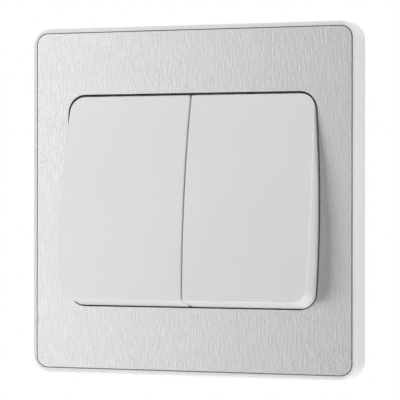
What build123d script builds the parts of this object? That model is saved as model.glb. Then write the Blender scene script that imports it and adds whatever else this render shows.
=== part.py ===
# Two-gang rocker switch on a clip-on square plate, for a wall box with 60.3 mm fixing centres.
# Millimetres. X runs to the right, Z up and the face looks along -Y; the wall is the plane Y = 0.
# Heights are measured forward from the wall, so a negative height lies inside the wall box.
import os
from math import cos, radians, sin, sqrt, tan

from build123d import *

os.makedirs("parts", exist_ok=True)

# Plate: a moulded frame with a brushed steel sheet set into its face
PLATE = 95.2
PLATE_DEPTH = 7.0
PLATE_CORNER = 5.0
EDGE_ROUND = 1.0
REAR_EDGE_ROUND = 0.3
FRAME_WALL = 1.8
WEB_T = 1.6
RIM = 1.4
STEEL = PLATE - 2 * RIM
STEEL_T = 0.8
STEEL_CORNER = 3.1
STEEL_EDGE_ROUND = 0.12
WINDOW_EDGE_ROUND = 0.12
SEAM = 0.2
PRISE_W = 8.0
PRISE_DEPTH = 1.0
PRISE_H = 1.4

# Window: straight above and below, sides bowed outward
WINDOW_HALF_W = 37.33
WINDOW_HALF_H = 29.1
WINDOW_BOW_R = 378.0
WINDOW_CORNER = 5.0
WEB_MARGIN = 0.3
LIP_T = 1.2
LIP_DROP = 1.2

# Ribs and snap hooks behind the frame's web
RIB_T = 1.2
RIB_DROP = 1.6
RIB_X = 12.0
RIB_Z = 20.0
HOOK_X = 26.0
HOOK_W = 7.0
HOOK_T = 1.4
HOOK_END_H = 0.3
BARB_REACH = 0.7
BARB_T = 0.9
HOOK_CLEARANCE = 0.2

# Support frame
RING_ROOM = 0.8
RING = PLATE - 2 * (FRAME_WALL + RING_ROOM)
RING_T = 2.6
RING_CORNER = 4.0
CAP_ROOM_X = 1.17
CAP_ROOM_Z = 1.4
RING_OPEN_W = 2 * (WINDOW_HALF_W + CAP_ROOM_X)
RING_OPEN_H = 2 * (WINDOW_HALF_H + CAP_ROOM_Z)
RING_OPEN_CORNER = 6.0
HOOK_EDGE = 7.5
HOOK_Z = RING / 2 - HOOK_EDGE
TRAY_SINK = 0.4
TRAY_T = 1.0
TRAY_RIM = 1.5
BAND_H = 16.0
BAND_T = 1.6
PANEL_W = 50.4
PANEL_H = 45.0
PANEL_T = 2.0
PANEL_CORNER = 2.0
FIXING_CENTRES = 60.3
FIXING_SLOT_W = 4.2
FIXING_SLOT_TRAVEL = 3.0
LUG_ROOM_R = 4.4
BOSS_R = 2.9
BOSS_DEPTH = 6.0
BOSS_Z = 9.0
PILOT_DEPTH = 4.0

# Fixing screws, M3.5 with a waisted neck
FIXING_R = 1.75
FIXING_NECK_R = 1.5
FIXING_LENGTH = 22.0
FIXING_HEAD_R = 3.4
FIXING_HEAD_T = 2.1
FIXING_HEAD_ROUND = 1.0
FIXING_SLOT_CUT = 0.9
FIXING_SLOT_DEEP = 1.1
FIXING_TIP = 0.6

# Rockers: tilt, pivot and face arch
ROCKER_TILT = 6.76
PIVOT_DEPTH = 3.2
CROWN = 8.1
CROWN_R = 228.0
SKIRT_DROP = 0.4
END_GAP = 0.14
CAP_END = WINDOW_HALF_H - END_GAP
END_DRAFT = 8.0
SIDE_DRAFT = 2.6
GAP_DRAFT = 0.4
SIDE_GAP = 0.35
CENTRE_GAP = 0.24
CAP_CORNER = 4.3
CAP_INNER_CORNER = 0.7
CAP_EDGE_ROUND = 0.4
CAP_WALL = 1.8
CAP_RIB_Z = 10.5
CAP_RIB_T = 1.2
CAP_RIB_FOOT = 4.0
CAP_ROOT = 0.6

# Dolly and the snap legs that hold the cap on it
GANG_PITCH = 25.2
PLATFORM_W = 14.0
PLATFORM_H = 12.0
PLATFORM_FOOT = 2.2
PLATFORM_T = 2.0
HUB_W = 12.4
HUB_H = 5.2
HUB_FOOT = 1.5
TRUNNION_R = 1.5
TRUNNION_CLEARANCE = 0.05
STEM_R = 2.8
STEM_END = 8.4
SEAT_Z = 3.5
LEG_W = 6.0
LEG_T = 1.3
LEG_CLEARANCE = 0.15
LEG_BARB = 0.75
LEG_BARB_T = 0.7
BARB_CLEARANCE = 0.1

# Pivot ears on the support frame
EAR_CLEARANCE = 0.35
EAR_T = 1.8
EAR_R = 3.0
EAR_MOUTH = 2.5
STEM_OPEN_W = 6.4
STEM_OPEN_H = 8.6

# Plunger and its spring
PLUNGER_R = 1.5
PLUNGER_FIT = 0.05
PLUNGER_LENGTH = 6.4
SPIGOT_R = 0.7
SPIGOT_LENGTH = 1.2
BORE_END = 2.7
SPRING_R = 1.1
WIRE_R = 0.22
SPRING_TURNS = 6

# Contact arm, see-saw on two lugs
ARM_DEPTH = 9.0
ARM_T = 1.2
ARM_W = 5.6
ARM_HALF = 10.6
ARM_TILT = 9.5
ARM_END_ROUND = 1.2
ARM_MID_CLEARANCE = 0.2
LUG_R = 0.8
LUG_END = 5.2
LUG_CLEARANCE = 0.05
CONTACT_Z = 8.8
CONTACT_R = 1.7
CONTACT_HEAD = 0.9
CONTACT_DOME = 0.5
RIVET_R = 0.9
RIVET_FIT = 0.02
CLOSED_CLEARANCE = 0.1

# Switch base
BASE_DEPTH = 16.0
CHAMBER_W = 17.2
PARTITION_T = 1.6
RECESS_W = 16.0
RECESS_H = 21.0
RECESS_DEPTH = 1.8
POCKET_INNER_Z = 13.6
BLOCK_CLEARANCE = 0.2

# Terminals
BLOCK_W = 7.8
BLOCK_LENGTH = 8.2
BLOCK_FRONT = 7.0
BLOCK_REAR = 15.6
BLOCK_X = 5.0
BLOCK_EDGE = 0.4
WIRE_BORE_R = 2.0
WIRE_DEPTH = 10.0
STRAP_T = 1.0
STRAP_W = 4.8
STRAP_CLEARANCE = 0.3
CONTACT_PAD_HALF = 2.2
COMMON_STRAP_INNER = 5.0
COMMON_STRAP_OUTER = 7.4
SADDLE_INNER = 3.4
SADDLE_T = 1.4
SADDLE_HALF_Z = 2.0

# Terminal and base screws
TERMINAL_SCREW_R = 1.7
TERMINAL_HEAD_R = 2.6
TERMINAL_HEAD_T = 1.7
TERMINAL_BACKED_OFF = 0.3
TERMINAL_SLOT = 0.8
TERMINAL_SLOT_DEEP = 0.9
THREAD_FIT = 0.02
BASE_SCREW_R = 1.1
BASE_SCREW_HOLE_R = 1.3
BASE_SCREW_END = 5.0
BASE_HEAD_R = 2.3
BASE_HEAD_T = 1.5
BASE_HEAD_POCKET_R = 2.6
BASE_HEAD_POCKET = 2.0
BOSS_FIT = 0.1

# Working planes
WALL = Plane.XZ
PROFILE = Plane(origin=(0, 0, 0), x_dir=(1, 0, 0), z_dir=(0, 0, -1))


def across(x):
    """Plane square to X at x, drawn with height forward from the wall first and Z second."""
    return Plane(origin=(x, 0, 0), x_dir=(0, -1, 0), z_dir=(-1, 0, 0))


# Derived heights
PIVOT_H = PLATE_DEPTH - PIVOT_DEPTH
STEEL_BACK_H = PLATE_DEPTH - STEEL_T
WEB_BACK_H = STEEL_BACK_H - WEB_T
BASE_FRONT_H = -PANEL_T
BASE_REAR_H = BASE_FRONT_H - BASE_DEPTH
ARM_H = -ARM_DEPTH
EAR_INNER = PLATFORM_W / 2 + EAR_CLEARANCE
EAR_OUTER = EAR_INNER + EAR_T
PLATFORM_TOP = PLATFORM_FOOT + PLATFORM_T
BORE_R = PLUNGER_R + PLUNGER_FIT
PLUNGER_TIP = PIVOT_H - ARM_H - ARM_T / 2 - ARM_MID_CLEARANCE
PLUNGER_SHOULDER = PLUNGER_TIP - PLUNGER_LENGTH

# Where a closed contact's dome comes to rest, from the arm's tilt
DOME_R = (CONTACT_R ** 2 + CONTACT_DOME ** 2) / (2 * CONTACT_DOME)
dome_centre = ARM_T / 2 + CONTACT_HEAD - DOME_R
arm_sin = sin(radians(ARM_TILT))
arm_cos = cos(radians(ARM_TILT))
CLOSED_DEPTH = dome_centre * arm_cos + CONTACT_Z * arm_sin + DOME_R
FIXED_Z = CONTACT_Z * arm_cos - dome_centre * arm_sin
STRAP_FRONT_H = ARM_H - CLOSED_DEPTH - CLOSED_CLEARANCE - CONTACT_HEAD
STRAP_BACK_H = STRAP_FRONT_H - STRAP_T

# Terminal blocks stand in pockets that open to the rear and to the top or bottom
BLOCK_INNER_Z = POCKET_INNER_Z + BLOCK_CLEARANCE
BLOCK_OUTER_Z = BLOCK_INNER_Z + BLOCK_LENGTH
BLOCK_MID_Z = BLOCK_INNER_Z + BLOCK_LENGTH / 2
POCKET_W = BLOCK_W + 2 * BLOCK_CLEARANCE
POCKET_H = PANEL_H / 2 - POCKET_INNER_Z
CHAMBER_H = 2 * (POCKET_INNER_Z - PARTITION_T)
POCKET_MID_Z = POCKET_INNER_Z + POCKET_H / 2
TERMINALS = {"upper": (-BLOCK_X, 1), "common": (BLOCK_X, 1), "lower": (0.0, -1)}
PAIR = (("left", -1), ("right", 1))
BOTH = (-1, 1)

rocker_axis = Axis((0, -PIVOT_H, 0), (1, 0, 0))
arm_axis = Axis((0, -ARM_H, 0), (1, 0, 0))


def bowed_window(margin):
    """The window's outline grown by a margin: straight ends, sides on a long arc, round corners."""
    half_w = WINDOW_HALF_W + margin
    half_h = WINDOW_HALF_H + margin
    corner_x = half_w - WINDOW_BOW_R + sqrt(WINDOW_BOW_R ** 2 - half_h ** 2)
    with BuildSketch() as outline:
        with BuildLine():
            ThreePointArc((corner_x, -half_h), (half_w, 0), (corner_x, half_h))
            Line((corner_x, half_h), (-corner_x, half_h))
            ThreePointArc((-corner_x, half_h), (-half_w, 0), (-corner_x, -half_h))
            Line((-corner_x, -half_h), (corner_x, -half_h))
        make_face()
        fillet(outline.vertices(), WINDOW_CORNER + margin)
    return outline.sketch


def cap_outline(level, inset):
    """The right rocker cap's outline at a level above its pivot, drawn in by an inset on every side."""
    rise = level + SKIRT_DROP
    outer = WINDOW_HALF_W - SIDE_GAP - rise * tan(radians(SIDE_DRAFT)) - inset
    inner = CENTRE_GAP / 2 + rise * tan(radians(GAP_DRAFT)) + inset
    end = CAP_END - rise * tan(radians(END_DRAFT)) - inset
    corner_x = outer - WINDOW_BOW_R + sqrt(WINDOW_BOW_R ** 2 - end ** 2)
    with BuildSketch() as outline:
        with BuildLine():
            ThreePointArc((corner_x, -end), (outer, 0), (corner_x, end))
            Line((corner_x, end), (inner, end))
            Line((inner, end), (inner, -end))
            Line((inner, -end), (corner_x, -end))
        make_face()
        fillet(outline.vertices().group_by(Axis.X)[-1], CAP_CORNER - inset)
        fillet(outline.vertices().sort_by(Axis.X)[0:2], CAP_INNER_CORNER)
    return outline.sketch


def keep(part, node):
    """Name a finished piece and write it out."""
    part.label = node
    export_step(part, f"parts/{node}.step")


def keep_pair(part, node):
    """Write out a piece of the mechanism once for each gang."""
    for side, sign in PAIR:
        keep(part.moved(Location((sign * GANG_PITCH / 2, 0, 0))), f"{side}_{node}")


# Front frame: white moulding, open behind, with a recess for the steel and four snap hooks
web_window = bowed_window(WEB_MARGIN)
lip_window = bowed_window(WEB_MARGIN + LIP_T)
CAVITY = PLATE - 2 * FRAME_WALL
rib_start_x = WINDOW_HALF_W + WEB_MARGIN + LIP_T / 2
rib_start_z = WINDOW_HALF_H + WEB_MARGIN + LIP_T / 2
rib_len_x = CAVITY / 2 + FRAME_WALL / 2 - rib_start_x
rib_len_z = CAVITY / 2 + FRAME_WALL / 2 - rib_start_z
with BuildPart() as front_frame:
    with BuildSketch(WALL):
        RectangleRounded(PLATE, PLATE, PLATE_CORNER)
    extrude(amount=PLATE_DEPTH)
    fillet(front_frame.faces().sort_by(Axis.Y)[0].edges(), EDGE_ROUND)
    fillet(front_frame.faces().sort_by(Axis.Y)[-1].edges(), REAR_EDGE_ROUND)
    with BuildSketch(WALL.offset(STEEL_BACK_H)):
        RectangleRounded(STEEL + 2 * SEAM, STEEL + 2 * SEAM, STEEL_CORNER + SEAM)
    extrude(amount=STEEL_T, mode=Mode.SUBTRACT)
    with BuildSketch(WALL):
        RectangleRounded(CAVITY, CAVITY, PLATE_CORNER - FRAME_WALL)
    extrude(amount=WEB_BACK_H, mode=Mode.SUBTRACT)
    with BuildSketch(WALL.offset(WEB_BACK_H - LIP_DROP)):
        add(lip_window)
    extrude(amount=LIP_DROP)
    with BuildSketch(WALL.offset(WEB_BACK_H - RIB_DROP)):
        with Locations(*[(sx * (rib_start_x + rib_len_x / 2), sz * RIB_Z) for sx in BOTH for sz in BOTH]):
            Rectangle(rib_len_x, RIB_T)
        with Locations(*[(sx * RIB_X, sz * (rib_start_z + rib_len_z / 2)) for sx in BOTH for sz in BOTH]):
            Rectangle(RIB_T, rib_len_z)
    extrude(amount=RIB_DROP)
    with BuildSketch(WALL.offset(WEB_BACK_H - LIP_DROP)):
        add(web_window)
    extrude(amount=LIP_DROP + WEB_T, mode=Mode.SUBTRACT)
    with BuildSketch(WALL.offset(HOOK_END_H)):
        with Locations(*[(sx * HOOK_X, sz * (HOOK_Z + HOOK_T / 2)) for sx in BOTH for sz in BOTH]):
            Rectangle(HOOK_W, HOOK_T)
    extrude(amount=WEB_BACK_H - HOOK_END_H)
    with BuildSketch(WALL.offset(HOOK_END_H)):
        with Locations(*[(sx * HOOK_X, sz * (HOOK_Z + HOOK_T)) for sx in BOTH for sz in BOTH]):
            Rectangle(HOOK_W, 2 * BARB_REACH)
    extrude(amount=BARB_T)
    with BuildSketch(WALL):
        with Locations((0, -PLATE / 2)):
            Rectangle(PRISE_W, 2 * PRISE_DEPTH)
    extrude(amount=PRISE_H, mode=Mode.SUBTRACT)
keep(front_frame.part, "front_frame")

# Steel fascia: brushed sheet bonded into the frame's recess
steel_window = bowed_window(0)
with BuildPart() as steel_fascia:
    with BuildSketch(WALL.offset(STEEL_BACK_H)):
        RectangleRounded(STEEL, STEEL, STEEL_CORNER)
        add(steel_window, mode=Mode.SUBTRACT)
    extrude(amount=STEEL_T)
    steel_face = steel_fascia.faces().sort_by(Axis.Y)[0]
    fillet(steel_face.outer_wire().edges(), STEEL_EDGE_ROUND)
    steel_face = steel_fascia.faces().sort_by(Axis.Y)[0]
    fillet(steel_face.inner_wires()[0].edges(), WINDOW_EDGE_ROUND)
keep(steel_fascia.part, "steel_fascia")

# Support frame: ring on the wall, tray behind the rockers, cross band with the fixing slots,
# panel that closes the base, and pivot ears
slot_z = HOOK_Z + HOOK_T / 2
slot_h = HOOK_T + 2 * HOOK_CLEARANCE
catch_z = HOOK_Z + HOOK_T + HOOK_CLEARANCE
catch_h = BARB_REACH + HOOK_CLEARANCE
with BuildPart() as support_frame:
    with BuildSketch(WALL):
        RectangleRounded(RING, RING, RING_CORNER)
    extrude(amount=RING_T)
    with BuildSketch(WALL.offset(-TRAY_SINK - TRAY_T)):
        RectangleRounded(RING_OPEN_W + 2 * TRAY_RIM, RING_OPEN_H + 2 * TRAY_RIM, RING_OPEN_CORNER + TRAY_RIM)
    extrude(amount=TRAY_SINK + TRAY_T)
    with BuildSketch(WALL.offset(-TRAY_SINK)):
        RectangleRounded(RING_OPEN_W, RING_OPEN_H, RING_OPEN_CORNER)
    extrude(amount=TRAY_SINK + RING_T, mode=Mode.SUBTRACT)
    with BuildSketch(WALL.offset(-TRAY_SINK)):
        Rectangle(RING_OPEN_W + RIB_T, BAND_H)
    extrude(amount=TRAY_SINK + BAND_T)
    with BuildSketch(WALL.offset(BASE_FRONT_H)):
        RectangleRounded(PANEL_W, PANEL_H, PANEL_CORNER)
    extrude(amount=PANEL_T)
    for x in (-GANG_PITCH / 2, GANG_PITCH / 2):
        for start in (x - EAR_OUTER, x + EAR_INNER):
            with BuildSketch(across(start)):
                with Locations((PIVOT_H / 2, 0)):
                    Rectangle(PIVOT_H, 2 * EAR_R)
                with Locations((PIVOT_H, 0)):
                    Circle(EAR_R)
                    Circle(TRUNNION_R + TRUNNION_CLEARANCE, mode=Mode.SUBTRACT)
                with Locations((PIVOT_H + EAR_R, 0)):
                    Rectangle(2 * EAR_R, EAR_MOUTH, mode=Mode.SUBTRACT)
            extrude(amount=-EAR_T)
    with BuildSketch(WALL.offset(BASE_FRONT_H - BOSS_DEPTH)):
        with Locations((0, -BOSS_Z), (0, BOSS_Z)):
            Circle(BOSS_R)
    extrude(amount=BOSS_DEPTH)
    with BuildSketch(WALL.offset(BASE_FRONT_H - BOSS_DEPTH)):
        with Locations((0, -BOSS_Z), (0, BOSS_Z)):
            Circle(BASE_SCREW_R + THREAD_FIT)
    extrude(amount=PILOT_DEPTH, mode=Mode.SUBTRACT)
    with BuildSketch(WALL.offset(BASE_FRONT_H)):
        with Locations((-GANG_PITCH / 2, 0), (GANG_PITCH / 2, 0)):
            Rectangle(STEM_OPEN_W, STEM_OPEN_H)
    extrude(amount=PANEL_T + BAND_T, mode=Mode.SUBTRACT)
    with BuildSketch(WALL.offset(-TRAY_SINK - TRAY_T)):
        with Locations((-FIXING_CENTRES / 2, 0), (FIXING_CENTRES / 2, 0)):
            Circle(LUG_ROOM_R)
    extrude(amount=TRAY_SINK + TRAY_T, mode=Mode.SUBTRACT)
    with BuildSketch(WALL):
        with Locations((-FIXING_CENTRES / 2, 0)):
            SlotCenterToCenter(FIXING_SLOT_TRAVEL, FIXING_SLOT_W)
        with Locations((FIXING_CENTRES / 2, 0)):
            SlotCenterToCenter(FIXING_SLOT_TRAVEL, FIXING_SLOT_W, rotation=90)
    extrude(amount=BAND_T, mode=Mode.SUBTRACT)
    with BuildSketch(WALL):
        with Locations(*[(sx * HOOK_X, sz * slot_z) for sx in BOTH for sz in BOTH]):
            Rectangle(HOOK_W + 2 * HOOK_CLEARANCE, slot_h)
    extrude(amount=RING_T, mode=Mode.SUBTRACT)
    with BuildSketch(WALL):
        with Locations(*[(sx * HOOK_X, sz * (catch_z + catch_h / 2)) for sx in BOTH for sz in BOTH]):
            Rectangle(HOOK_W + 2 * HOOK_CLEARANCE, catch_h)
    extrude(amount=HOOK_END_H + BARB_T + HOOK_CLEARANCE, mode=Mode.SUBTRACT)
keep(support_frame.part, "support_frame")

# Fixing screws: slotted heads on the cross band, under the rocker caps
with BuildPart() as fixing_screws:
    with BuildSketch(WALL.offset(BAND_T)):
        with Locations((-FIXING_CENTRES / 2, 0), (FIXING_CENTRES / 2, 0)):
            Circle(FIXING_HEAD_R)
    extrude(amount=FIXING_HEAD_T)
    fillet(fixing_screws.faces().group_by(Axis.Y)[0].edges(), FIXING_HEAD_ROUND)
    with BuildSketch(WALL):
        with Locations((-FIXING_CENTRES / 2, 0), (FIXING_CENTRES / 2, 0)):
            Circle(FIXING_NECK_R)
    extrude(amount=BAND_T)
    with BuildSketch(WALL):
        with Locations((-FIXING_CENTRES / 2, 0), (FIXING_CENTRES / 2, 0)):
            Circle(FIXING_R)
    extrude(amount=-FIXING_LENGTH)
    chamfer(fixing_screws.faces().group_by(Axis.Y)[-1].edges(), FIXING_TIP)
    with BuildSketch(WALL.offset(BAND_T + FIXING_HEAD_T)):
        with Locations((-FIXING_CENTRES / 2, 0), (FIXING_CENTRES / 2, 0)):
            Rectangle(2 * FIXING_HEAD_R, FIXING_SLOT_CUT)
    extrude(amount=-FIXING_SLOT_DEEP, mode=Mode.SUBTRACT)
keep(fixing_screws.part, "fixing_screws")

# Switch base: rear moulding with two contact chambers and three terminal pockets a gang
partition_z = POCKET_INNER_Z - PARTITION_T / 2
with BuildPart() as switch_base:
    with BuildSketch(WALL.offset(BASE_REAR_H)):
        RectangleRounded(PANEL_W, PANEL_H, PANEL_CORNER)
    extrude(amount=BASE_DEPTH)
    for x in (-GANG_PITCH / 2, GANG_PITCH / 2):
        with BuildSketch(WALL.offset(STRAP_BACK_H)):
            with Locations((x, 0)):
                Rectangle(CHAMBER_W, CHAMBER_H)
        extrude(amount=BASE_FRONT_H - STRAP_BACK_H, mode=Mode.SUBTRACT)
        with BuildSketch(WALL.offset(BASE_REAR_H)):
            with Locations((x, 0)):
                Rectangle(RECESS_W, RECESS_H)
        extrude(amount=RECESS_DEPTH, mode=Mode.SUBTRACT)
        with BuildSketch(WALL.offset(BASE_REAR_H)):
            with Locations(*[(x + bx, sz * POCKET_MID_Z) for bx, sz in TERMINALS.values()]):
                Rectangle(POCKET_W, POCKET_H)
        extrude(amount=-BLOCK_FRONT - BASE_REAR_H, mode=Mode.SUBTRACT)
        with BuildSketch(WALL.offset(STRAP_BACK_H)):
            with Locations(*[(x + bx, sz * partition_z) for bx, sz in TERMINALS.values()]):
                Rectangle(STRAP_W + 2 * STRAP_CLEARANCE, PARTITION_T)
        extrude(amount=STRAP_T + STRAP_CLEARANCE, mode=Mode.SUBTRACT)
    with BuildSketch(WALL.offset(BASE_FRONT_H)):
        with Locations((0, -BOSS_Z), (0, BOSS_Z)):
            Circle(BOSS_R + BOSS_FIT)
    extrude(amount=-BOSS_DEPTH, mode=Mode.SUBTRACT)
    with BuildSketch(WALL.offset(BASE_FRONT_H)):
        with Locations((0, -BOSS_Z), (0, BOSS_Z)):
            Circle(BASE_SCREW_HOLE_R)
    extrude(amount=-BASE_DEPTH, mode=Mode.SUBTRACT)
    with BuildSketch(WALL.offset(BASE_REAR_H)):
        with Locations((0, -BOSS_Z), (0, BOSS_Z)):
            Circle(BASE_HEAD_POCKET_R)
    extrude(amount=BASE_HEAD_POCKET, mode=Mode.SUBTRACT)
keep(switch_base.part, "switch_base")

# Base screws: two self-tapping screws from the rear into the support frame's bosses
with BuildPart() as base_screws:
    with BuildSketch(WALL.offset(BASE_REAR_H + BASE_HEAD_POCKET)):
        with Locations((0, -BOSS_Z), (0, BOSS_Z)):
            Circle(BASE_HEAD_R)
    extrude(amount=-BASE_HEAD_T)
    with BuildSketch(WALL.offset(BASE_REAR_H + BASE_HEAD_POCKET)):
        with Locations((0, -BOSS_Z), (0, BOSS_Z)):
            Circle(BASE_SCREW_R)
    extrude(amount=-BASE_SCREW_END - BASE_REAR_H - BASE_HEAD_POCKET)
    with BuildSketch(WALL.offset(BASE_REAR_H + BASE_HEAD_POCKET - BASE_HEAD_T)):
        with Locations((0, -BOSS_Z), (0, BOSS_Z)):
            Rectangle(2 * BASE_HEAD_R, TERMINAL_SLOT)
            Rectangle(TERMINAL_SLOT, 2 * BASE_HEAD_R)
            Circle(BASE_HEAD_R / 2, mode=Mode.INTERSECT)
    extrude(amount=TERMINAL_SLOT_DEEP, mode=Mode.SUBTRACT)
keep(base_screws.part, "base_screws")

# Rocker caps: shell with drafted sides and an arched face, modelled level and then tipped to rest
crown_h = PIVOT_H + CROWN
with BuildPart() as cap_core:
    for level in (-SKIRT_DROP, CROWN):
        with BuildSketch(WALL.offset(PIVOT_H + level)):
            add(cap_outline(level, CAP_WALL))
    loft()
    with BuildSketch(across(0)):
        with Locations((crown_h - CROWN_R, 0)):
            Circle(CROWN_R - CAP_WALL)
    extrude(amount=-PLATE, mode=Mode.INTERSECT)

leg_z = PLATFORM_H / 2 + LEG_CLEARANCE
leg_foot = PLATFORM_FOOT - BARB_CLEARANCE - LEG_BARB_T
leg_root = CROWN - CAP_WALL + CAP_ROOT
leg_x = GANG_PITCH / 2
rib_outer = WINDOW_HALF_W - SIDE_GAP - CAP_WALL / 2
rib_inner = CENTRE_GAP / 2 + CAP_WALL / 2
with BuildPart() as right_rocker_cap:
    for level in (-SKIRT_DROP, CROWN):
        with BuildSketch(WALL.offset(PIVOT_H + level)):
            add(cap_outline(level, 0))
    loft()
    with BuildSketch(across(0)):
        with Locations((crown_h - CROWN_R, 0)):
            Circle(CROWN_R)
    extrude(amount=-PLATE, mode=Mode.INTERSECT)
    fillet(right_rocker_cap.faces().sort_by(Axis.Y)[0].edges(), CAP_EDGE_ROUND)
    add(cap_core.part, mode=Mode.SUBTRACT)
    with BuildSketch(WALL.offset(PIVOT_H + CAP_RIB_FOOT)):
        with Locations(((rib_inner + rib_outer) / 2, -CAP_RIB_Z), ((rib_inner + rib_outer) / 2, CAP_RIB_Z)):
            Rectangle(rib_outer - rib_inner, CAP_RIB_T)
    extrude(amount=leg_root - CAP_ROOT - CAP_RIB_FOOT)
    with BuildSketch(WALL.offset(PIVOT_H + PLATFORM_TOP)):
        with Locations((leg_x, -SEAT_Z), (leg_x, SEAT_Z)):
            Rectangle(PLATFORM_W, CAP_RIB_T)
    extrude(amount=leg_root - PLATFORM_TOP)
    with BuildSketch(WALL.offset(PIVOT_H + leg_foot)):
        with Locations((leg_x, -leg_z - LEG_T / 2), (leg_x, leg_z + LEG_T / 2)):
            Rectangle(LEG_W, LEG_T)
    extrude(amount=leg_root - leg_foot)
    with BuildSketch(WALL.offset(PIVOT_H + leg_foot)):
        with Locations((leg_x, -leg_z), (leg_x, leg_z)):
            Rectangle(LEG_W, 2 * LEG_BARB)
    extrude(amount=LEG_BARB_T)
right_rest = right_rocker_cap.part.rotate(rocker_axis, -ROCKER_TILT)
keep(right_rest, "right_rocker_cap")
keep(right_rest.mirror(Plane.YZ), "left_rocker_cap")

# Dollies: rocking carriers with trunnions and a hollow stem
with BuildPart() as dolly:
    with BuildSketch(WALL.offset(PIVOT_H + PLATFORM_FOOT)):
        Rectangle(PLATFORM_W, PLATFORM_H)
    extrude(amount=PLATFORM_T)
    with BuildSketch(WALL.offset(PIVOT_H - HUB_FOOT)):
        Rectangle(HUB_W, HUB_H)
    extrude(amount=HUB_FOOT + PLATFORM_FOOT)
    with BuildSketch(across(EAR_OUTER)):
        with Locations((PIVOT_H, 0)):
            Circle(TRUNNION_R)
    extrude(amount=2 * EAR_OUTER)
    with BuildSketch(WALL.offset(PIVOT_H - STEM_END)):
        Circle(STEM_R)
    extrude(amount=STEM_END)
    with BuildSketch(WALL.offset(PIVOT_H - STEM_END)):
        Circle(BORE_R)
    extrude(amount=STEM_END + BORE_END, mode=Mode.SUBTRACT)
keep_pair(dolly.part.rotate(rocker_axis, -ROCKER_TILT), "dolly")

# Plungers: round-nosed pins that slide in the dolly's stem
with BuildPart() as plunger:
    with BuildSketch(PROFILE):
        with BuildLine():
            Polyline(
                (0, PIVOT_H - PLUNGER_TIP),
                (0, PIVOT_H - PLUNGER_SHOULDER + SPIGOT_LENGTH),
                (SPIGOT_R, PIVOT_H - PLUNGER_SHOULDER + SPIGOT_LENGTH),
                (SPIGOT_R, PIVOT_H - PLUNGER_SHOULDER),
                (PLUNGER_R, PIVOT_H - PLUNGER_SHOULDER),
                (PLUNGER_R, PIVOT_H - PLUNGER_TIP + PLUNGER_R),
            )
            RadiusArc((PLUNGER_R, PIVOT_H - PLUNGER_TIP + PLUNGER_R), (0, PIVOT_H - PLUNGER_TIP), PLUNGER_R)
        make_face()
    revolve(axis=Axis.Y)
keep_pair(plunger.part.rotate(rocker_axis, -ROCKER_TILT), "plunger")

# Plunger springs: coils between the plunger's shoulder and the end of the dolly's bore
spring_foot = PIVOT_H - PLUNGER_SHOULDER + WIRE_R
spring_length = PLUNGER_SHOULDER + BORE_END - 2 * WIRE_R
with BuildPart() as spring:
    with BuildLine() as coil:
        Helix(spring_length / SPRING_TURNS, spring_length, SPRING_R,
              center=(0, -spring_foot, 0), direction=(0, -1, 0))
    with BuildSketch(Plane(origin=coil.line @ 0, z_dir=coil.line % 0)):
        Circle(WIRE_R)
    sweep(is_frenet=True)
keep_pair(spring.part.rotate(rocker_axis, -ROCKER_TILT), "plunger_spring")

# Contact arms: see-saw strips carried by two round lugs
with BuildPart() as contact_arm:
    with BuildSketch(WALL.offset(ARM_H - ARM_T / 2)):
        RectangleRounded(ARM_W, 2 * ARM_HALF, ARM_END_ROUND)
        with Locations((0, -CONTACT_Z), (0, CONTACT_Z)):
            Circle(RIVET_R + RIVET_FIT, mode=Mode.SUBTRACT)
    extrude(amount=ARM_T)
    for start in (LUG_END, -ARM_W / 2):
        with BuildSketch(across(start)):
            with Locations((ARM_H, 0)):
                Circle(LUG_R)
        extrude(amount=LUG_END - ARM_W / 2)
keep_pair(contact_arm.part.rotate(arm_axis, ARM_TILT), "contact_arm")


def rivet(plate_t, face):
    """Contact rivet with a domed head, drawn on a plane whose second direction leaves the plate's face."""
    with BuildPart() as piece:
        with BuildSketch(face):
            with BuildLine():
                Polyline(
                    (0, CONTACT_HEAD),
                    (0, -plate_t),
                    (RIVET_R, -plate_t),
                    (RIVET_R, 0),
                    (CONTACT_R, 0),
                    (CONTACT_R, CONTACT_HEAD - CONTACT_DOME),
                )
                RadiusArc((CONTACT_R, CONTACT_HEAD - CONTACT_DOME), (0, CONTACT_HEAD), -DOME_R)
            make_face()
        revolve(axis=Axis(face.origin, face.y_dir))
    return piece.part


# Moving contacts: two rivets through each arm, heads to the rear
with BuildPart() as moving_contacts:
    for z in (-CONTACT_Z, CONTACT_Z):
        add(rivet(ARM_T, Plane(origin=(0, ARM_T / 2 - ARM_H, z), x_dir=(1, 0, 0), z_dir=(0, 0, 1))))
keep_pair(moving_contacts.part.rotate(arm_axis, ARM_TILT), "moving_contacts")

# Fixed contacts: two rivets through the upper and lower straps, heads to the front
with BuildPart() as fixed_contacts:
    for z in (-FIXED_Z, FIXED_Z):
        add(rivet(STRAP_T, Plane(origin=(0, -STRAP_FRONT_H, z), x_dir=(1, 0, 0), z_dir=(0, 0, -1))))
keep_pair(fixed_contacts.part, "fixed_contacts")


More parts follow.
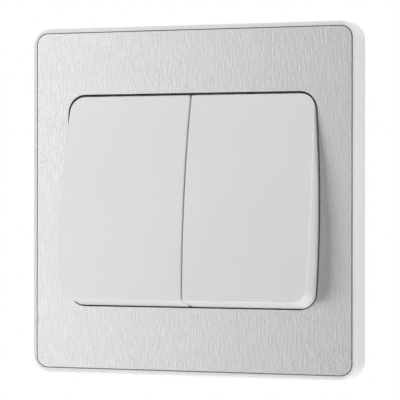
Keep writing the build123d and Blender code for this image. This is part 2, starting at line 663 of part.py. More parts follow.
def terminal_block(x, sz):
    """Brass block with a wire bore along Z and a tapped hole from the rear."""
    with BuildPart() as block:
        with BuildSketch(WALL.offset(-BLOCK_REAR)):
            with Locations((x, sz * BLOCK_MID_Z)):
                Rectangle(BLOCK_W, BLOCK_LENGTH)
        extrude(amount=BLOCK_REAR - BLOCK_FRONT)
        chamfer(block.edges().filter_by(Axis.Z), BLOCK_EDGE)
        with BuildSketch(Plane.XY.offset(sz * BLOCK_MID_Z)):
            with Locations((x, WIRE_DEPTH)):
                Circle(WIRE_BORE_R)
        extrude(amount=BLOCK_LENGTH / 2, both=True, mode=Mode.SUBTRACT)
        with BuildSketch(WALL.offset(-BLOCK_REAR)):
            with Locations((x, sz * BLOCK_MID_Z)):
                Circle(TERMINAL_SCREW_R + THREAD_FIT)
        extrude(amount=BLOCK_REAR - WIRE_DEPTH, mode=Mode.SUBTRACT)
    return block.part


# Upper terminals: block with a cranked strap that carries the upper fixed contact
upper_x, upper_sign = TERMINALS["upper"]
with BuildPart() as upper_terminal:
    add(terminal_block(upper_x, upper_sign))
    with BuildSketch(WALL.offset(STRAP_BACK_H)):
        with BuildLine():
            Polyline(
                (upper_x - STRAP_W / 2, BLOCK_INNER_Z),
                (upper_x + STRAP_W / 2, BLOCK_INNER_Z),
                (upper_x + STRAP_W / 2, FIXED_Z + CONTACT_PAD_HALF),
                (CONTACT_PAD_HALF, FIXED_Z + CONTACT_PAD_HALF),
                (CONTACT_PAD_HALF, FIXED_Z - CONTACT_PAD_HALF),
                (upper_x - STRAP_W / 2, FIXED_Z - CONTACT_PAD_HALF),
                close=True,
            )
        make_face()
        with Locations((0, FIXED_Z)):
            Circle(RIVET_R + RIVET_FIT, mode=Mode.SUBTRACT)
    extrude(amount=STRAP_T)
keep_pair(upper_terminal.part, "upper_terminal")

# Lower terminals: block with a straight strap that carries the lower fixed contact
lower_x, lower_sign = TERMINALS["lower"]
strap_inner = FIXED_Z - CONTACT_PAD_HALF
with BuildPart() as lower_terminal:
    add(terminal_block(lower_x, lower_sign))
    with BuildSketch(WALL.offset(STRAP_BACK_H)):
        with Locations((lower_x, -(strap_inner + BLOCK_INNER_Z) / 2)):
            Rectangle(STRAP_W, BLOCK_INNER_Z - strap_inner)
        with Locations((lower_x, -FIXED_Z)):
            Circle(RIVET_R + RIVET_FIT, mode=Mode.SUBTRACT)
    extrude(amount=STRAP_T)
keep_pair(lower_terminal.part, "lower_terminal")

# Common terminals: block, side strap and a saddle with two notched cheeks that carry the arm's lugs
common_x, common_sign = TERMINALS["common"]
saddle_outer = SADDLE_INNER + SADDLE_T
with BuildPart() as common_terminal:
    add(terminal_block(common_x, common_sign))
    with BuildSketch(WALL.offset(STRAP_BACK_H)):
        with BuildLine():
            Polyline(
                (COMMON_STRAP_INNER, BLOCK_INNER_Z),
                (COMMON_STRAP_OUTER, BLOCK_INNER_Z),
                (COMMON_STRAP_OUTER, -SADDLE_HALF_Z),
                (-saddle_outer, -SADDLE_HALF_Z),
                (-saddle_outer, SADDLE_HALF_Z),
                (COMMON_STRAP_INNER, SADDLE_HALF_Z),
                close=True,
            )
        make_face()
    extrude(amount=STRAP_T)
    for start in (-saddle_outer, SADDLE_INNER):
        with BuildSketch(across(start)):
            with Locations(((STRAP_BACK_H + ARM_H + LUG_R) / 2, 0)):
                Rectangle(ARM_H + LUG_R - STRAP_BACK_H, 2 * SADDLE_HALF_Z)
            with Locations((ARM_H, 0)):
                Circle(LUG_R + LUG_CLEARANCE, mode=Mode.SUBTRACT)
            with Locations((ARM_H + LUG_R / 2, 0)):
                Rectangle(LUG_R, 2 * (LUG_R + LUG_CLEARANCE), mode=Mode.SUBTRACT)
        extrude(amount=-SADDLE_T)
keep_pair(common_terminal.part, "common_terminal")

# Terminal screws: slotted screws from the rear, backed off clear of the wire bores
head_seat = -BLOCK_REAR - TERMINAL_BACKED_OFF
screw_end = -WIRE_DEPTH - WIRE_BORE_R - TERMINAL_BACKED_OFF
screw_spots = [(bx, sz * BLOCK_MID_Z) for bx, sz in TERMINALS.values()]
with BuildPart() as terminal_screws:
    with BuildSketch(WALL.offset(head_seat)):
        with Locations(*screw_spots):
            Circle(TERMINAL_HEAD_R)
    extrude(amount=-TERMINAL_HEAD_T)
    with BuildSketch(WALL.offset(head_seat)):
        with Locations(*screw_spots):
            Circle(TERMINAL_SCREW_R)
    extrude(amount=screw_end - head_seat)
    with BuildSketch(WALL.offset(head_seat - TERMINAL_HEAD_T)):
        with Locations(*screw_spots):
            Rectangle(2 * TERMINAL_HEAD_R, TERMINAL_SLOT)
    extrude(amount=TERMINAL_SLOT_DEEP, mode=Mode.SUBTRACT)
keep_pair(terminal_screws.part, "terminal_screws")
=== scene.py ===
from math import radians

import bmesh
import bpy
import numpy as np
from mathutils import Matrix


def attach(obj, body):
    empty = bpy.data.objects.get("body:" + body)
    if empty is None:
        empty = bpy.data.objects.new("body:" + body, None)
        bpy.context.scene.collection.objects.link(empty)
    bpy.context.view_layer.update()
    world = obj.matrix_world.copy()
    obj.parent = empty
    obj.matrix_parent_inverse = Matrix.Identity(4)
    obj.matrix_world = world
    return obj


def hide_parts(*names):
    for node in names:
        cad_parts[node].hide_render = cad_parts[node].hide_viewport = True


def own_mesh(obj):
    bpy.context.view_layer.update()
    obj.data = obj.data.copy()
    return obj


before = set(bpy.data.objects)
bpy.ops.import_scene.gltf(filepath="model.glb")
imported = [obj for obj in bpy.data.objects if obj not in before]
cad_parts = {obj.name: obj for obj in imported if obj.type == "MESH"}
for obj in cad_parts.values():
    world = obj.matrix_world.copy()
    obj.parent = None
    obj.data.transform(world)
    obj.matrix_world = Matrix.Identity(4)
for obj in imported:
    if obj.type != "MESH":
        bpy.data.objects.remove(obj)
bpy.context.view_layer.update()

# Terminals: six brass blocks with their straps, cut from drawn bar, bored for the wire and tapped for
# a screw. They go into the switch base first, three to a gang.
MM = 0.001
SIDES = ("left", "right")
# A Mix node's plain and colour sockets share their names, so they are told apart by number.
MIX_SHARE, MIX_PLAIN_A, MIX_PLAIN_B, MIX_COLOUR_A, MIX_COLOUR_B = 0, 2, 3, 6, 7
MIXED_COLOUR = 2
# A noise keeps near its middle, so the part between these two is spread over the whole range.
NOISE_LOW, NOISE_HIGH = 0.3, 0.7
# Dull patches: their size in mm, and how much they count against the tool marks.
PATCH_SIZE, PATCH_SHARE = 5, 0.45


def linear(hex_colour):
    """A colour written as sRGB hex, turned to the linear values that shaders use."""
    channels = np.array([int(hex_colour[i:i + 2], 16) for i in (1, 3, 5)]) / 255
    low = channels / 12.92
    high = ((channels + 0.055) / 1.055) ** 2.4
    return (*np.where(channels <= 0.04045, low, high).tolist(), 1.0)


def node(tree, kind, sockets=None, **settings):
    """Add a node. Settings are its own properties; sockets take a value or another node's output."""
    made = tree.nodes.new(kind)
    for name, value in settings.items():
        setattr(made, name, value)
    for key, value in (sockets or {}).items():
        if isinstance(value, bpy.types.NodeSocket):
            tree.links.new(value, made.inputs[key])
        else:
            made.inputs[key].default_value = value
    return made


def finish_named(name):
    """An empty material, with its node tree."""
    material = bpy.data.materials.new(name)
    material.use_nodes = True
    material.node_tree.nodes.clear()
    return material, material.node_tree


def wear(material, *names):
    """Give CAD nodes a material in place of the one they were imported with."""
    for name in names:
        for place in bpy.data.objects[name].material_slots:
            place.material = material


def toned(tree, noise, dark, pale):
    """A noise spread over the whole range, and the colour that it moves from dark to pale."""
    spread = node(tree, "ShaderNodeMapRange",
                  {"Value": noise.outputs[0], "From Min": NOISE_LOW, "From Max": NOISE_HIGH})
    tone = node(tree, "ShaderNodeMix",
                {MIX_SHARE: spread.outputs[0], MIX_COLOUR_A: linear(dark), MIX_COLOUR_B: linear(pale)},
                data_type="RGBA")
    return spread.outputs[0], tone.outputs[MIXED_COLOUR]


def worked_metal(name, dark, pale, mark, gloss, depth):
    """A metal with tool marks: noise stretched to the mark's size along X, Y and Z (mm) moves the colour
    from dark to pale, the roughness over the gloss range and the surface by depth (mm), and a slow
    second noise dulls it in patches, as handling and air do."""
    material, tree = finish_named(name)
    place = node(tree, "ShaderNodeTexCoord").outputs["Object"]
    per_mark = tuple(1 / (size * MM) for size in mark)
    stretched = node(tree, "ShaderNodeMapping", {"Vector": place, "Scale": per_mark})
    marks = node(tree, "ShaderNodeTexNoise",
                 {"Vector": stretched.outputs[0], "Scale": 1.0, "Detail": 3, "Roughness": 0.6})
    patch = node(tree, "ShaderNodeTexNoise", {"Vector": place, "Scale": 1 / (PATCH_SIZE * MM), "Detail": 3})
    blend = node(tree, "ShaderNodeMix",
                 {MIX_SHARE: PATCH_SHARE, MIX_PLAIN_A: marks.outputs[0], MIX_PLAIN_B: patch.outputs[0]})
    spread, tone = toned(tree, blend, dark, pale)
    rough = node(tree, "ShaderNodeMapRange", {"Value": spread, "To Min": gloss[1], "To Max": gloss[0]})
    relief = node(tree, "ShaderNodeBump", {"Height": marks.outputs[0], "Distance": depth * MM})
    shader = node(tree, "ShaderNodeBsdfPrincipled",
                  {"Base Color": tone, "Metallic": 1.0, "Roughness": rough.outputs[0],
                   "Normal": relief.outputs[0]})
    node(tree, "ShaderNodeOutputMaterial", {"Surface": shader.outputs[0]})
    return material


# Drawn brass: warm yellow, with faint lines along the bar and a first brown dulling. The lines are a
# few times coarser than a real die leaves, so that they show.
drawn_brass = worked_metal("drawn_brass", "#B08C45", "#DCBE78",
                           mark=(0.25, 0.25, 4.0), gloss=(0.22, 0.42), depth=0.004)
for side in SIDES:
    wear(drawn_brass, f"{side}_common_terminal", f"{side}_upper_terminal", f"{side}_lower_terminal")

# Terminal screws: slotted screws turned from brass bar and plated, three to a gang, backed off a little
# so that a wire can go in. Their heads face the back.
TERMINAL_SEAT_Y = 15.9
# Radii of head, neck, crest and root, the slot's half width, and lengths along the screw, in mm.
TERMINAL_SCREW = {"head": 2.6, "thick": 1.7, "roll": 0.45, "slot": 0.4, "deep": 0.9,
                  "neck": 1.45, "thread_start": 0.3, "crest": 1.7, "root": 1.4, "pitch": 0.7,
                  "length": 3.6, "tip": 0.3}
TERMINAL_PLACES = ((-5.0, 17.9), (5.0, 17.9), (0.0, -17.9))
GANG_X = 12.6
# How finely a screw is divided: chords on each side of the slot, points on a chord, rings to a pitch.
SIDE_CHORDS, CHORD_POINTS, RINGS_PER_PITCH = 16, 29, 10
# The power of the thread's wave: under 1, the crests are rounder than the roots.
THREAD_POWER = 0.8
# Points nearer than this (mm) are one point, and edges over this angle (degrees) stay sharp.
MERGE_DISTANCE, SHARP_ANGLE = 0.0005, 35


def grid_faces(grid, start=0):
    """The four-cornered faces between neighbouring points of a grid, whose first point has number start."""
    rows, columns = grid.shape[:2]
    index = start + np.arange(rows * columns).reshape(rows, columns)
    corners = (index[:-1, :-1], index[:-1, 1:], index[1:, 1:], index[1:, :-1])
    return np.stack(corners, axis=-1).reshape(-1, 4)


def slotted_screw(size, middle, seat_y, faces):
    """A slotted screw in mm, as one closed surface. The head's top is a grid of chords parallel to the slot:
    the height is level, rolls off along a quarter ellipse to the rim, and falls to the slot's floor between
    the slot's walls, where the chord is given twice. Round the ends of the chords, a second grid carries the
    profile down: rim, seat, neck and thread, whose radius is a wave of the height plus the turn, to the tip.
    Faces is -1 for a head that looks to the front and 1 for one that looks to the back."""
    radius, roll, slot, floor = size["head"], size["roll"], size["slot"], size["thick"] - size["deep"]
    lean = np.linspace(np.arcsin(slot / radius), np.pi / 2, SIDE_CHORDS)
    half = radius * np.sin(lean)
    in_slot = (-slot, 0.0, slot)
    across = np.concatenate((-half[::-1], in_slot, half))
    sunk = np.repeat((False, True, False), (SIDE_CHORDS, len(in_slot), SIDE_CHORDS))
    along = np.sin(np.linspace(-np.pi / 2, np.pi / 2, CHORD_POINTS))
    x = along[None, :] * np.sqrt(np.maximum(radius ** 2 - across ** 2, 0))[:, None]
    t = np.repeat(across[:, None], len(along), axis=1)
    past = np.clip((np.hypot(x, t) - (radius - roll)) / roll, 0, 1)
    up = np.where(sunk[:, None], floor, floor + size["deep"] * np.sqrt(1 - past ** 2))
    top = np.stack((x, up, t), axis=-1)

    edge = np.concatenate((top[:, -1], top[::-1, 0]))
    turn = np.arctan2(edge[:, 2], edge[:, 0])
    count = int(round((size["length"] - size["thread_start"]) / size["pitch"] * RINGS_PER_PITCH))
    down = -np.linspace(size["thread_start"], size["length"], count + 1)
    rise = np.clip((-down - size["thread_start"]) / size["pitch"], 0, 1)
    pointed = size["tip"] * (1 - np.clip((size["length"] + down) / size["tip"], 0, 1))
    crest = size["neck"] + (size["crest"] - size["neck"]) * rise
    crest = np.minimum(crest, size["crest"] - pointed)
    root = size["root"] - pointed
    wave = 0.5 + 0.5 * np.cos(2 * np.pi * (down[:, None] / size["pitch"] - turn[None, :] / (2 * np.pi)))
    thread = root[:, None] + (crest - root)[:, None] * wave ** THREAD_POWER
    thread[0] = size["neck"]
    one_ring = np.ones((1, len(turn)))
    reach = np.concatenate((radius * one_ring, size["neck"] * one_ring, thread, 0 * one_ring))
    level = np.concatenate(((0.0, 0.0), down, (down[-1],)))
    level = np.repeat(level[:, None], len(turn), axis=1)
    shank = np.stack((reach * np.cos(turn), level, reach * np.sin(turn)), axis=-1)
    shank = np.concatenate((edge[None], shank))
    shank = np.concatenate((shank, shank[:, :1]), axis=1)

    top_points, shank_points = top.reshape(-1, 3), shank.reshape(-1, 3)
    shank_faces = grid_faces(shank, start=len(top_points))[:, ::-1]
    x, y, z = np.concatenate((top_points, shank_points)).T
    placed = np.stack((middle[0] - faces * x, seat_y + faces * y, middle[1] + z), axis=-1)
    return placed, np.concatenate((grid_faces(top), shank_faces))


def gather(name, surfaces, material, body):
    """One object from several closed surfaces, with the doubled points at seams and poles merged."""
    offsets = np.cumsum([0] + [len(points) for points, _ in surfaces[:-1]])
    points = np.concatenate([points for points, _ in surfaces]) * MM
    quads = np.concatenate([quads + offset for (_, quads), offset in zip(surfaces, offsets)])
    mesh = bpy.data.meshes.new(name)
    mesh.from_pydata(points.tolist(), [], quads.tolist())
    shape = bmesh.new()
    shape.from_mesh(mesh)
    bmesh.ops.remove_doubles(shape, verts=shape.verts, dist=MERGE_DISTANCE * MM)
    bmesh.ops.dissolve_degenerate(shape, edges=shape.edges, dist=MERGE_DISTANCE * MM)
    shape.to_mesh(mesh)
    shape.free()
    mesh.set_sharp_from_angle(angle=radians(SHARP_ANGLE))
    mesh.materials.append(material)
    piece = bpy.data.objects.new(name, mesh)
    bpy.context.scene.collection.objects.link(piece)
    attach(piece, body)
    return piece


# Nickel plate over turned brass: bright and slightly warm, with fine turning marks under the plate.
nickel_plate = worked_metal("nickel_plated_brass", "#B9B4A9", "#DEDAD0",
                            mark=(0.9, 0.2, 0.3), gloss=(0.14, 0.30), depth=0.002)
for side, gang in zip(SIDES, (-GANG_X, GANG_X)):
    screws = [slotted_screw(TERMINAL_SCREW, (gang + x, z), TERMINAL_SEAT_Y, faces=1)
              for x, z in TERMINAL_PLACES]
    piece = gather(f"{side}_slotted_terminal_screws", screws, nickel_plate, "plate")
    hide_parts(f"{side}_terminal_screws")

# Contacts: silver rivets, pressed into the terminals' straps and into the ends of the arms.
# Contact silver: the palest metal in the part, coined smooth, with a faint straw tarnish in patches.
contact_silver = worked_metal("contact_silver", "#CFC8B4", "#F0EEE8",
                              mark=(0.4, 0.4, 0.4), gloss=(0.16, 0.34), depth=0.002)
for side in SIDES:
    wear(contact_silver, f"{side}_fixed_contacts", f"{side}_moving_contacts")

# Contact arms: see-saw strips pressed from rolled copper alloy, which rock on the common terminal's saddle.
# Rolled copper: red-brown, with the mill's lines along the strip and darker patches of heat tint.
rolled_copper = worked_metal("rolled_copper", "#96583C", "#CF8E6C",
                             mark=(0.25, 1.0, 5.0), gloss=(0.22, 0.40), depth=0.003)
for side in SIDES:
    wear(rolled_copper, f"{side}_contact_arm")

# Switch base: one moulding with two contact chambers and six terminal pockets, closed by the support frame.
# Pale grey thermoset, pressed in a spark-eroded tool.
PLASTIC_IOR = 1.5


def moulded(name, shade, pale, flow, grit, gloss, depth):
    """A moulded plastic: its tone drifts from shade to pale over the flow size (mm), and the tool's grit (mm)
    moves the roughness over the gloss range and the surface by depth (mm)."""
    material, tree = finish_named(name)
    place = node(tree, "ShaderNodeTexCoord").outputs["Object"]
    drift = node(tree, "ShaderNodeTexNoise", {"Vector": place, "Scale": 1 / (flow * MM), "Detail": 3})
    _, tone = toned(tree, drift, shade, pale)
    tool = node(tree, "ShaderNodeTexNoise", {"Vector": place, "Scale": 1 / (grit * MM), "Detail": 2})
    rough = node(tree, "ShaderNodeMapRange",
                 {"Value": tool.outputs[0], "To Min": gloss[0], "To Max": gloss[1]})
    relief = node(tree, "ShaderNodeBump", {"Height": tool.outputs[0], "Distance": depth * MM})
    shader = node(tree, "ShaderNodeBsdfPrincipled",
                  {"Base Color": tone, "Roughness": rough.outputs[0],
                   "Normal": relief.outputs[0], "IOR": PLASTIC_IOR})
    node(tree, "ShaderNodeOutputMaterial", {"Surface": shader.outputs[0]})
    return material


# Spark-eroded finish: an even grit that kills the gloss, coarser here than the tool's so that it shows.
base_moulding = moulded("spark_textured_thermoset", "#CFCFCB", "#D8D8D4",
                        flow=18, grit=0.35, gloss=(0.48, 0.66), depth=0.02)
wear(base_moulding, "switch_base")

# Base screws: two small cross-recessed screws that hold the base to the support frame.
# Zinc plate: cool silver, with the soft cloudy patches that a clear passivation leaves.
zinc_plate = worked_metal("zinc_plated_steel", "#A3A8AB", "#D3D6D6",
                          mark=(0.5, 0.5, 0.5), gloss=(0.20, 0.38), depth=0.002)
wear(zinc_plate, "base_screws")

# Support frame: moulded ring and cross band that the wall box's screws hold, with the front of the mechanism.
# Polycarbonate from a satin tool: a little whiter and smoother than the base behind it.
support_moulding = moulded("satin_polycarbonate", "#DADADA", "#E1E1E0",
                           flow=25, grit=0.5, gloss=(0.40, 0.54), depth=0.012)
wear(support_moulding, "support_frame")

# Fixing screws: two slotted pan-head machine screws that go through the support frame into the wall box.
# Cold headed, thread rolled and zinc plated, so the crests are slightly rounded.
FIXING_X = 30.15
FIXING_SEAT_Y = -1.6
FIXING_SCREW = {"head": 3.4, "thick": 2.1, "roll": 1.0, "slot": 0.45, "deep": 1.1,
                "neck": 1.5, "thread_start": 1.6, "crest": 1.75, "root": 1.36, "pitch": 0.6,
                "length": 23.6, "tip": 0.6}
screws = [slotted_screw(FIXING_SCREW, (x, 0.0), FIXING_SEAT_Y, faces=-1) for x in (-FIXING_X, FIXING_X)]
piece = gather("slotted_fixing_screws", screws, zinc_plate, "plate")
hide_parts("fixing_screws")

# Dollies: rocking carriers on trunnions in the support frame's ears; the caps snap onto their legs.
# Acetal: milky, slightly waxy and low in friction.
dolly_moulding = moulded("acetal", "#DDDBD2", "#E8E6DE",
                         flow=12, grit=0.8, gloss=(0.30, 0.42), depth=0.004)
wear(dolly_moulding, "left_dolly", "right_dolly")

# Plungers: turned-looking moulded pins that slide in the dollies and push the arms over.
# Natural nylon: cream, with a duller skin than the acetal round it.
natural_nylon = moulded("natural_nylon", "#D9D1BB", "#E6DFCC",
                        flow=6, grit=0.4, gloss=(0.36, 0.50), depth=0.004)
wear(natural_nylon, "left_plunger", "right_plunger")

# Plunger springs: wound from hard-drawn wire with closed end turns, each between its plunger's shoulder and
# the end of its dolly's bore. The wire keeps dark die lines; the coil is built at one length and moves with
# its rocker.
# Radii of wire and coil, and the level of the wire's middle at each end before the coil leans, in mm.
SPRING = {"wire": 0.22, "coil": 1.1, "turns": 7, "foot": 1.58, "head": -6.28}
STEPS_PER_TURN, WIRE_POINTS = 48, 13
# Turns that lie closed at each end, and the part of a turn in which the coil then opens.
CLOSED_TURNS, OPENING_TURN = 0.8, 0.3
PIVOT_Y, PIVOT_TO_BORE_END = -3.8, 2.7
ROCKER_TILT = radians(6.76)


def wound_spring(size, middle):
    """A round wire carried along a helix. The helix drops one wire's thickness a turn at its two ends, and
    between them eases to whatever pitch fills the length; the wire's circle stands on the helix's radius
    and on the line square to that radius and to the wire, and each end closes to a point at its middle.
    The whole coil then leans with the rocker about its pivot."""
    turn = np.linspace(0, size["turns"], STEPS_PER_TURN * size["turns"] + 1)
    from_end = np.minimum(turn, size["turns"] - turn)
    ease = np.clip(from_end - CLOSED_TURNS, 0, OPENING_TURN) / OPENING_TURN
    ease = ease ** 2 * (3 - 2 * ease)
    opened = np.concatenate(((0.0,), np.cumsum((ease[1:] + ease[:-1]) / 2)))
    spare = size["foot"] - size["head"] - 2 * size["wire"] * size["turns"]
    level = size["foot"] - 2 * size["wire"] * turn - spare * opened / opened[-1]
    angle, still = 2 * np.pi * turn, np.zeros_like(turn)
    out = np.stack((np.cos(angle), still, np.sin(angle)), axis=-1)
    centre = size["coil"] * out + np.stack((still, level, still), axis=-1)
    along = np.gradient(centre, axis=0)
    across = np.cross(along / np.linalg.norm(along, axis=1, keepdims=True), out)
    ring = np.linspace(0, 2 * np.pi, WIRE_POINTS)[None, :, None]
    tube = centre[:, None] + size["wire"] * (np.cos(ring) * out[:, None] + np.sin(ring) * across[:, None])
    ends = np.repeat(centre[[0, -1], None], WIRE_POINTS, axis=1)
    tube = np.concatenate((ends[:1], tube, ends[1:]))
    x, y, z = tube[..., 0], tube[..., 1] - PIVOT_Y, tube[..., 2]
    leaned = np.stack((middle + x, PIVOT_Y + y * np.cos(ROCKER_TILT) + z * np.sin(ROCKER_TILT),
                       z * np.cos(ROCKER_TILT) - y * np.sin(ROCKER_TILT)), axis=-1)
    return leaned.reshape(-1, 3), grid_faces(tube)


spring_wire = worked_metal("hard_drawn_wire", "#5F6266", "#A4A8AC",
                           mark=(0.3, 0.12, 0.3), gloss=(0.24, 0.40), depth=0.002)
for side, gang in zip(SIDES, (-GANG_X, GANG_X)):
    piece = gather(f"{side}_wound_spring", [wound_spring(SPRING, gang)], spring_wire, f"{side}_rocker")
    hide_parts(f"{side}_plunger_spring")
    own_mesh(piece)

# Front frame: one square moulding with a thin rim round the steel, clipped over the support frame.
# White thermoplastic from a polished tool: satin gloss with a trace of orange peel.
white_moulding = moulded("white_thermoplastic", "#E4E4E4", "#E8E8E8",
                         flow=30, grit=1.6, gloss=(0.26, 0.34), depth=0.0024)
wear(white_moulding, "front_frame")

# Steel fascia: stainless sheet, blanked with the window and bonded into the frame's recess.
# Brushed up and down before blanking: short straight scratches that spread a light sideways, drawn coarser
# than the belt's so that they show, and painted shade: a dark grey on the sheet's edges wherever it doesn't
# face the front or back, which darkens the seam against the frame.
SCRATCH_WIDTH, SCRATCH_LENGTH, SCRATCH_DEPTH = 0.54, 3.8, 0.1
STEEL_DARK, STEEL_PALE, STEEL_SEAM_SHADE = "#C2C2C2", "#CCCCCC", "#3C3C3C"
STEEL_GLOSS = (0.31, 0.37)
SIDEWAYS_SPREAD = 0.72
EDGE_ENDS, FLAT_STARTS = 0.6, 0.9
brushed_steel, tree = finish_named("brushed_stainless_steel")
texture = node(tree, "ShaderNodeTexCoord")
stretched = node(tree, "ShaderNodeMapping",
                 {"Vector": texture.outputs["Object"],
                  "Scale": (1 / (SCRATCH_WIDTH * MM), 1, 1 / (SCRATCH_LENGTH * MM))})
grain = node(tree, "ShaderNodeTexNoise",
             {"Vector": stretched.outputs[0], "Scale": 1.0, "Detail": 4, "Roughness": 0.8})
spread, tone = toned(tree, grain, STEEL_DARK, STEEL_PALE)
# Painted shade: where the sheet turns away from the front and back, at its edges in the seam, the colour is
# mixed towards the dark grey.
facing = node(tree, "ShaderNodeSeparateXYZ", {"Vector": texture.outputs["Normal"]})
flat = node(tree, "ShaderNodeMath", {"Value": facing.outputs["Y"]}, operation="ABSOLUTE")
flat = node(tree, "ShaderNodeMapRange",
            {"Value": flat.outputs[0], "From Min": EDGE_ENDS, "From Max": FLAT_STARTS})
tone = node(tree, "ShaderNodeMix",
            {MIX_SHARE: flat.outputs[0], MIX_COLOUR_A: linear(STEEL_SEAM_SHADE), MIX_COLOUR_B: tone},
            data_type="RGBA")
rough = node(tree, "ShaderNodeMapRange",
             {"Value": spread, "To Min": STEEL_GLOSS[1], "To Max": STEEL_GLOSS[0]})
relief = node(tree, "ShaderNodeBump", {"Height": grain.outputs[0], "Distance": SCRATCH_DEPTH * MM})
shader = node(tree, "ShaderNodeBsdfPrincipled",
              {"Base Color": tone.outputs[MIXED_COLOUR], "Metallic": 1.0, "Roughness": rough.outputs[0],
               "Normal": relief.outputs[0], "Anisotropic": SIDEWAYS_SPREAD})
node(tree, "ShaderNodeOutputMaterial", {"Surface": shader.outputs[0]})
wear(brushed_steel, "steel_fascia")

# Rocker caps: two white mouldings that snap onto the dollies and fill the window between them.
# They come from the same plastic as the frame, and from as smooth a tool.
wear(white_moulding, "left_rocker_cap", "right_rocker_cap")

# Floor: a pale sweep far below the plate, which hangs on a wall in use. It is white to the eye and in
# reflections, and keeps the shadow that falls on it.
FLOOR_Z, FLOOR_HALF = -1.5, 7.0
FLOOR_TONE, FLOOR_GLOW = "#A0A0A0", 0.94
WHITE = (1, 1, 1, 1)
corners = np.array([(-1, -1), (1, -1), (1, 1), (-1, 1)]) * FLOOR_HALF
floor_mesh = bpy.data.meshes.new("floor")
floor_mesh.from_pydata([(x, y, FLOOR_Z) for x, y in corners], [], [(0, 1, 2, 3)])
floor = bpy.data.objects.new("floor", floor_mesh)
bpy.context.scene.collection.objects.link(floor)
white_sweep, tree = finish_named("white_sweep")
matt = node(tree, "ShaderNodeBsdfDiffuse", {"Color": linear(FLOOR_TONE)})
glow = node(tree, "ShaderNodeEmission", {"Color": WHITE, "Strength": FLOOR_GLOW})
ray = node(tree, "ShaderNodeLightPath")
seen = node(tree, "ShaderNodeMath", {0: ray.outputs["Is Camera Ray"], 1: ray.outputs["Is Glossy Ray"]},
            operation="MAXIMUM")
both = node(tree, "ShaderNodeAddShader", {0: matt.outputs[0], 1: glow.outputs[0]})
mixed = node(tree, "ShaderNodeMixShader", {0: seen.outputs[0], 1: matt.outputs[0], 2: both.outputs[0]})
node(tree, "ShaderNodeOutputMaterial", {"Surface": mixed.outputs[0]})
floor_mesh.materials.append(white_sweep)

# Light tent: a little even light from all round, seen as white by the camera, in reflections and through
# clear pieces.
TENT_LIGHT, TENT_WHITE = 0.13, 1.0
world = bpy.data.worlds.new("light_tent")
bpy.context.scene.world = world
world.use_nodes = True
tree = world.node_tree
tree.nodes.clear()
ray = node(tree, "ShaderNodeLightPath")
seen = node(tree, "ShaderNodeMath", {0: ray.outputs["Is Camera Ray"], 1: ray.outputs["Is Glossy Ray"]},
            operation="MAXIMUM")
seen = node(tree, "ShaderNodeMath", {0: seen.outputs[0], 1: ray.outputs["Is Transmission Ray"]},
            operation="MAXIMUM")
level = node(tree, "ShaderNodeMapRange",
             {"Value": seen.outputs[0], "To Min": TENT_LIGHT, "To Max": TENT_WHITE})
sky = node(tree, "ShaderNodeBackground", {"Color": WHITE, "Strength": level.outputs[0]})
node(tree, "ShaderNodeOutputWorld", {"Surface": sky.outputs[0]})

# Softboxes: a small near lamp on the left, whose falling light makes the steel's gradient, and four larger
# ones for the plastic. The larger ones give no mirror reflections, because their glare would burn out the
# flat faces in steep views.
MIRRORED_SOFTBOX = "left_softbox"
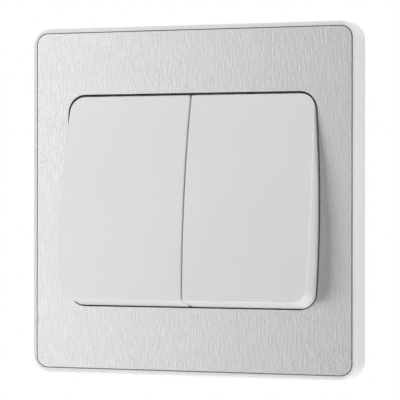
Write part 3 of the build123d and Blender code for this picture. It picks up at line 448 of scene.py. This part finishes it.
# Name, angle round from the front (left is minus), height angle, distance, width, height and power.
SOFTBOXES = (
    ("left_softbox", -41, 4, 0.34, 0.2, 0.4, 0.476),
    ("right_softbox", 91, 0, 1.2, 0.7, 0.7, 7.2),
    ("top_softbox", 30, 62, 1.2, 0.8, 0.8, 7.6),
    ("lower_softbox", 25, -80, 0.7, 0.5, 0.5, 3.95),
    ("back_softbox", -132, 24, 1.3, 0.7, 0.7, 14.0),
)
for name, turn, height, distance, width, tall, power in SOFTBOXES:
    lamp_data = bpy.data.lights.new(name, "AREA")
    lamp_data.shape = "RECTANGLE"
    lamp_data.size = width
    lamp_data.size_y = tall
    lamp_data.energy = power
    lamp = bpy.data.objects.new(name, lamp_data)
    out = np.array([np.sin(radians(turn)) * np.cos(radians(height)),
                    -np.cos(radians(turn)) * np.cos(radians(height)), np.sin(radians(height))])
    lamp.location = out * distance
    lamp.rotation_euler = (radians(90 - height), 0, radians(turn))
    lamp.visible_camera = False
    lamp.visible_glossy = name == MIRRORED_SOFTBOX
    bpy.context.scene.collection.objects.link(lamp)

# Grey card: a wide board that stands behind the camera, so that the steel has something darker than white
# to show. It gives an even grey of its own, and the camera doesn't see it.
CARD_Y = -1.3
CARD_LEFT, CARD_RIGHT, CARD_HALF_Z = -1.35, 2.0, 0.9
CARD_GREY = 0.405
card_mesh = bpy.data.meshes.new("grey_card")
card_mesh.from_pydata([(CARD_LEFT, CARD_Y, -CARD_HALF_Z), (CARD_LEFT, CARD_Y, CARD_HALF_Z),
                       (CARD_RIGHT, CARD_Y, CARD_HALF_Z), (CARD_RIGHT, CARD_Y, -CARD_HALF_Z)],
                      [], [(0, 1, 2, 3)])
card = bpy.data.objects.new("grey_card", card_mesh)
card.visible_camera = False
bpy.context.scene.collection.objects.link(card)
grey_card, tree = finish_named("grey_card")
glow = node(tree, "ShaderNodeEmission", {"Color": WHITE, "Strength": CARD_GREY})
node(tree, "ShaderNodeOutputMaterial", {"Surface": glow.outputs[0]})
card_mesh.materials.append(grey_card)

# Camera: a long lens level with the plate's middle, well round to its right. Its place, turn and lens come
# from a fit to the seams of the plate.
SENSOR_WIDTH, LENS = 36.0, 217.37
CAMERA_PLACE = (0.25545, -0.60912, 0.000138)
CAMERA_PITCH, CAMERA_ROLL, CAMERA_TURN = 90, -0.04, 22.76
NEAREST_SEEN = 0.01
camera_data = bpy.data.cameras.new("camera")
camera_data.sensor_width = SENSOR_WIDTH
camera_data.lens = LENS
camera_data.clip_start = NEAREST_SEEN
camera = bpy.data.objects.new("camera", camera_data)
camera.location = CAMERA_PLACE
camera.rotation_euler = (radians(CAMERA_PITCH), radians(CAMERA_ROLL), radians(CAMERA_TURN))
bpy.context.scene.collection.objects.link(camera)
bpy.context.scene.camera = camera
bpy.context.scene.view_settings.view_transform = "Standard"
